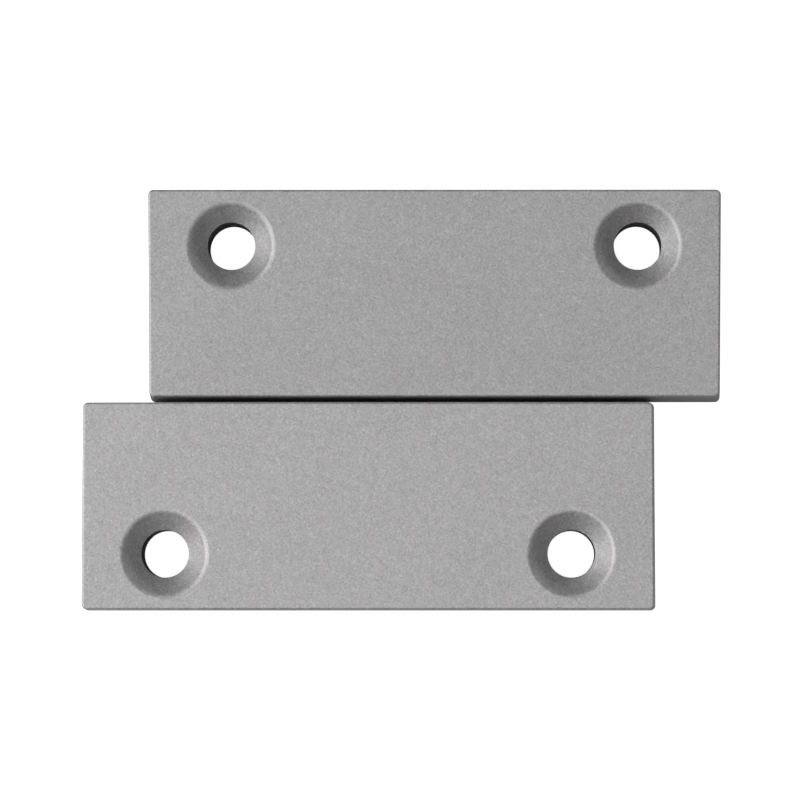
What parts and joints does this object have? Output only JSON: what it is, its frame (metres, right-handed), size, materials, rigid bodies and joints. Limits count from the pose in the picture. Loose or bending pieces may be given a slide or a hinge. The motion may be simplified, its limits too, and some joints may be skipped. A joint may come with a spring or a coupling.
{
  "type": "door contact sensor",
  "caption": "Magnetic door contact in two metal blocks: a switch unit with a reed switch and screw terminals, and a magnet unit, both with countersunk screw holes.",
  "frame": {"origin": "middle of the pair as shown, in the plane of the mounting faces", "axes": "+X along both blocks, +Y from the magnet unit towards the switch unit, +Z out of the mounting faces towards the fronts"},
  "size_m": [0.0622, 0.0406, 0.012],
  "materials": {
    "housing_metal": "fine bead-blasted and clear anodised, satin",
    "cover_metal": "rolled sheet, satin",
    "screw_steel": "machined, passivated",
    "gasket_rubber": "matt",
    "grommet_rubber": "satin",
    "pad_foam": "closed-cell foam, matt",
    "carrier_plastic": "moulded, matt",
    "board_laminate": "green solder resist",
    "solder": "tinned, bright",
    "reed_glass": "clear, slightly green",
    "reed_metal": "tin-plated nickel iron",
    "resistor_body": "lacquered, colour bands",
    "terminal_plastic": "moulded, satin",
    "terminal_brass": "bright",
    "magnet_metal": "cast magnet alloy, ground",
    "holder_plastic": "moulded, natural white"
  },
  "bodies": {
    "switch_unit": {"switch_housing": "housing_metal", "switch_cover": "cover_metal", "switch_gasket": "gasket_rubber", "switch_cover_screws": "screw_steel", "cable_grommet": "grommet_rubber", "carrier_pad": "pad_foam", "board_carrier": "carrier_plastic", "circuit_board": "board_laminate", "solder_joints": "solder", "reed_glass": "reed_glass", "reed_lead_left": "reed_metal", "reed_lead_right": "reed_metal", "loop_resistor": "resistor_body", "loop_resistor_lead": "solder", "tamper_link": "solder", "terminal_block": "terminal_plastic", "terminal_pins": "terminal_brass"},
    "magnet_unit": {"magnet_housing": "housing_metal", "magnet_cover": "cover_metal", "magnet_gasket": "gasket_rubber", "magnet_cover_screws": "screw_steel", "bar_magnet": "magnet_metal", "magnet_holder": "holder_plastic", "magnet_pad": "pad_foam"},
    "reed_blade_left": {"reed_blade_left": "reed_metal"},
    "reed_blade_right": {"reed_blade_right": "reed_metal"},
    "terminal_screw_1": {"terminal_screw_1": "screw_steel"},
    "terminal_cage_1": {"terminal_cage_1": "terminal_brass"},
    "terminal_screw_2": {"terminal_screw_2": "screw_steel"},
    "terminal_cage_2": {"terminal_cage_2": "terminal_brass"},
    "terminal_screw_3": {"terminal_screw_3": "screw_steel"},
    "terminal_cage_3": {"terminal_cage_3": "terminal_brass"},
    "terminal_screw_4": {"terminal_screw_4": "screw_steel"},
    "terminal_cage_4": {"terminal_cage_4": "terminal_brass"}
  },
  "joints": [
    {"name": "magnet_unit_slide", "type": "slide", "parent": "switch_unit", "child": "magnet_unit", "axis": [0, -1, 0], "range_m": [0, 0.015]},
    {"name": "reed_blade_left_flex", "type": "hinge", "parent": "switch_unit", "child": "reed_blade_left", "pos_m": [-0.0024, 0.00416, 0.0052], "axis": [0, -1, 0], "range_deg": [0, 0.6]},
    {"name": "reed_blade_right_flex", "type": "hinge", "parent": "switch_unit", "child": "reed_blade_right", "pos_m": [0.0088, 0.00416, 0.0052], "axis": [0, -1, 0], "range_deg": [0, 0.6]},
    {"name": "terminal_screw_1_turn", "type": "hinge", "parent": "switch_unit", "child": "terminal_screw_1", "pos_m": [-0.00205, 0.01376, 0.0025], "axis": [0, 0, 1], "range_deg": [0, 720]},
    {"name": "terminal_cage_1_lift", "type": "slide", "parent": "switch_unit", "child": "terminal_cage_1", "axis": [0, 0, -1], "range_m": [0, 0.0008]},
    {"name": "terminal_screw_2_turn", "type": "hinge", "parent": "switch_unit", "child": "terminal_screw_2", "pos_m": [0.00145, 0.01376, 0.0025], "axis": [0, 0, 1], "range_deg": [0, 720]},
    {"name": "terminal_cage_2_lift", "type": "slide", "parent": "switch_unit", "child": "terminal_cage_2", "axis": [0, 0, -1], "range_m": [0, 0.0008]},
    {"name": "terminal_screw_3_turn", "type": "hinge", "parent": "switch_unit", "child": "terminal_screw_3", "pos_m": [0.00495, 0.01376, 0.0025], "axis": [0, 0, 1], "range_deg": [0, 720]},
    {"name": "terminal_cage_3_lift", "type": "slide", "parent": "switch_unit", "child": "terminal_cage_3", "axis": [0, 0, -1], "range_m": [0, 0.0008]},
    {"name": "terminal_screw_4_turn", "type": "hinge", "parent": "switch_unit", "child": "terminal_screw_4", "pos_m": [0.00845, 0.01376, 0.0025], "axis": [0, 0, 1], "range_deg": [0, 720]},
    {"name": "terminal_cage_4_lift", "type": "slide", "parent": "switch_unit", "child": "terminal_cage_4", "axis": [0, 0, -1], "range_m": [0, 0.0008]}
  ],
  "couplings": [
    {"joint": "reed_blade_left_flex", "follows": "magnet_unit_slide", "rad_per_m": 0.69},
    {"joint": "reed_blade_right_flex", "follows": "magnet_unit_slide", "rad_per_m": 0.69},
    {"joint": "terminal_screw_1_turn", "follows": "terminal_cage_1_lift", "rad_per_m": 15700},
    {"joint": "terminal_screw_2_turn", "follows": "terminal_cage_2_lift", "rad_per_m": 15700},
    {"joint": "terminal_screw_3_turn", "follows": "terminal_cage_3_lift", "rad_per_m": 15700},
    {"joint": "terminal_screw_4_turn", "follows": "terminal_cage_4_lift", "rad_per_m": 15700}
  ]
}
